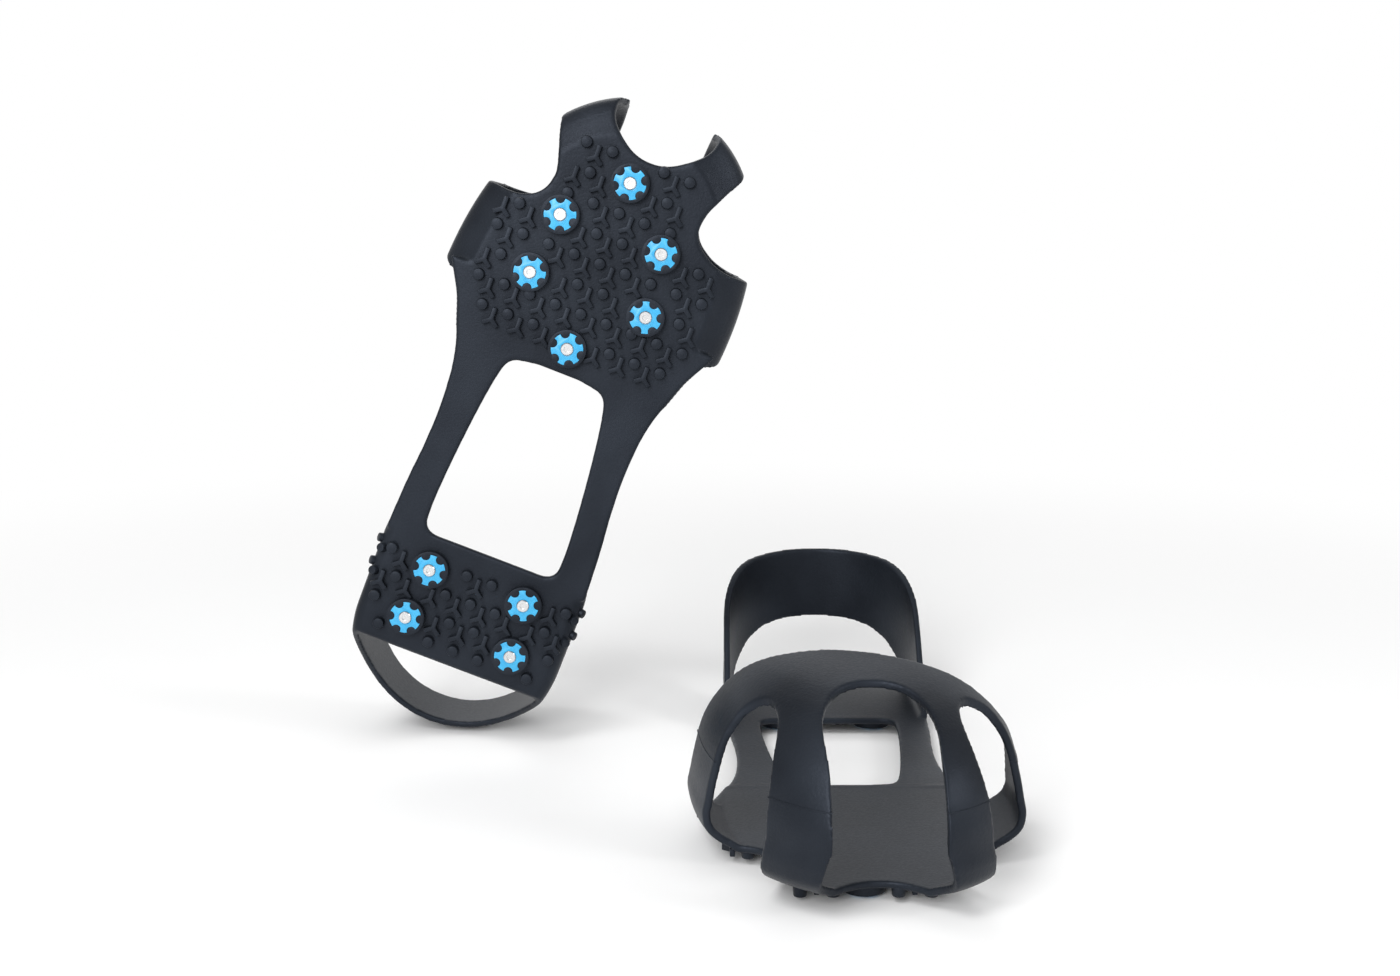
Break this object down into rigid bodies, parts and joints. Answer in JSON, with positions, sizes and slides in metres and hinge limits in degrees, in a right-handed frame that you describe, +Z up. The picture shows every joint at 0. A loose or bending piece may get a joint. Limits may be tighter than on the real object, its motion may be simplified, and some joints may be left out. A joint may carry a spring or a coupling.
{
  "type": "shoe ice cleats",
  "caption": "Pair of slip-on rubber ice cleats: a toe cage, a heel strap and arch rails carry studded forefoot and heel pads under a boot.",
  "frame": {"origin": "on the floor under the middle of the pair's box", "axes": "+Z up, +Y away from the viewer: the standing right cleat's toe points along -Y and the sole of the leaning left cleat faces -Y"},
  "size_m": [0.2804, 0.3004, 0.2893],
  "materials": {
    "harness_rubber": "satin, fine grain",
    "stud_plate": "moulded",
    "stud_steel": "turned"
  },
  "bodies": {
    "left_forefoot": {"left_forefoot": "harness_rubber", "left_stud_plate_01": "stud_plate", "left_stud_plate_02": "stud_plate", "left_stud_plate_03": "stud_plate", "left_stud_plate_04": "stud_plate", "left_stud_plate_05": "stud_plate", "left_stud_plate_06": "stud_plate", "left_stud_pin_01": "stud_steel", "left_stud_pin_02": "stud_steel", "left_stud_pin_03": "stud_steel", "left_stud_pin_04": "stud_steel", "left_stud_pin_05": "stud_steel", "left_stud_pin_06": "stud_steel"},
    "left_toe_band": {"left_toe_band": "harness_rubber"},
    "left_heel": {"left_heel": "harness_rubber", "left_stud_plate_07": "stud_plate", "left_stud_plate_08": "stud_plate", "left_stud_plate_09": "stud_plate", "left_stud_plate_10": "stud_plate", "left_stud_pin_07": "stud_steel", "left_stud_pin_08": "stud_steel", "left_stud_pin_09": "stud_steel", "left_stud_pin_10": "stud_steel"},
    "left_heel_strap": {"left_heel_strap": "harness_rubber"},
    "right_forefoot": {"right_forefoot": "harness_rubber", "right_stud_plate_01": "stud_plate", "right_stud_plate_02": "stud_plate", "right_stud_plate_03": "stud_plate", "right_stud_plate_04": "stud_plate", "right_stud_plate_05": "stud_plate", "right_stud_plate_06": "stud_plate", "right_stud_pin_01": "stud_steel", "right_stud_pin_02": "stud_steel", "right_stud_pin_03": "stud_steel", "right_stud_pin_04": "stud_steel", "right_stud_pin_05": "stud_steel", "right_stud_pin_06": "stud_steel"},
    "right_toe_band": {"right_toe_band": "harness_rubber"},
    "right_heel": {"right_heel": "harness_rubber", "right_stud_plate_07": "stud_plate", "right_stud_plate_08": "stud_plate", "right_stud_plate_09": "stud_plate", "right_stud_plate_10": "stud_plate", "right_stud_pin_07": "stud_steel", "right_stud_pin_08": "stud_steel", "right_stud_pin_09": "stud_steel", "right_stud_pin_10": "stud_steel"},
    "right_heel_strap": {"right_heel_strap": "harness_rubber"}
  },
  "joints": [
    {"name": "left_cleat_lean", "type": "hinge", "parent": "right_forefoot", "child": "left_heel", "pos_m": [-0.10889, 0.02949, 0], "axis": [1, 0, 0], "range_deg": [0, 90]},
    {"name": "left_arch_flex", "type": "hinge", "parent": "left_heel", "child": "left_forefoot", "pos_m": [-0.06125, 0.03749, 0.12898], "axis": [-0.9304, 0, 0.3665], "range_deg": [-10, 60], "stiffness_Nm_per_rad": 2},
    {"name": "right_arch_flex", "type": "hinge", "parent": "right_forefoot", "child": "right_heel", "pos_m": [0.07611, 0.01649, 0.008], "axis": [1, 0, 0], "range_deg": [-10, 60], "stiffness_Nm_per_rad": 2},
    {"name": "left_toe_band_stretch", "type": "slide", "parent": "left_forefoot", "child": "left_toe_band", "axis": [0, 1, 0], "range_m": [0, 0.012], "stiffness_N_per_m": 800},
    {"name": "right_toe_band_stretch", "type": "slide", "parent": "right_forefoot", "child": "right_toe_band", "axis": [0, 0, 1], "range_m": [0, 0.012], "stiffness_N_per_m": 800},
    {"name": "left_heel_strap_pull", "type": "hinge", "parent": "left_heel", "child": "left_heel_strap", "pos_m": [-0.09936, 0.04349, 0.03221], "axis": [-0.9304, 0, 0.3665], "range_deg": [0, 20], "stiffness_Nm_per_rad": 1},
    {"name": "right_heel_strap_pull", "type": "hinge", "parent": "right_heel", "child": "right_heel_strap", "pos_m": [0.07611, 0.12049, 0.014], "axis": [-1, 0, 0], "range_deg": [0, 20], "stiffness_Nm_per_rad": 1}
  ]
}
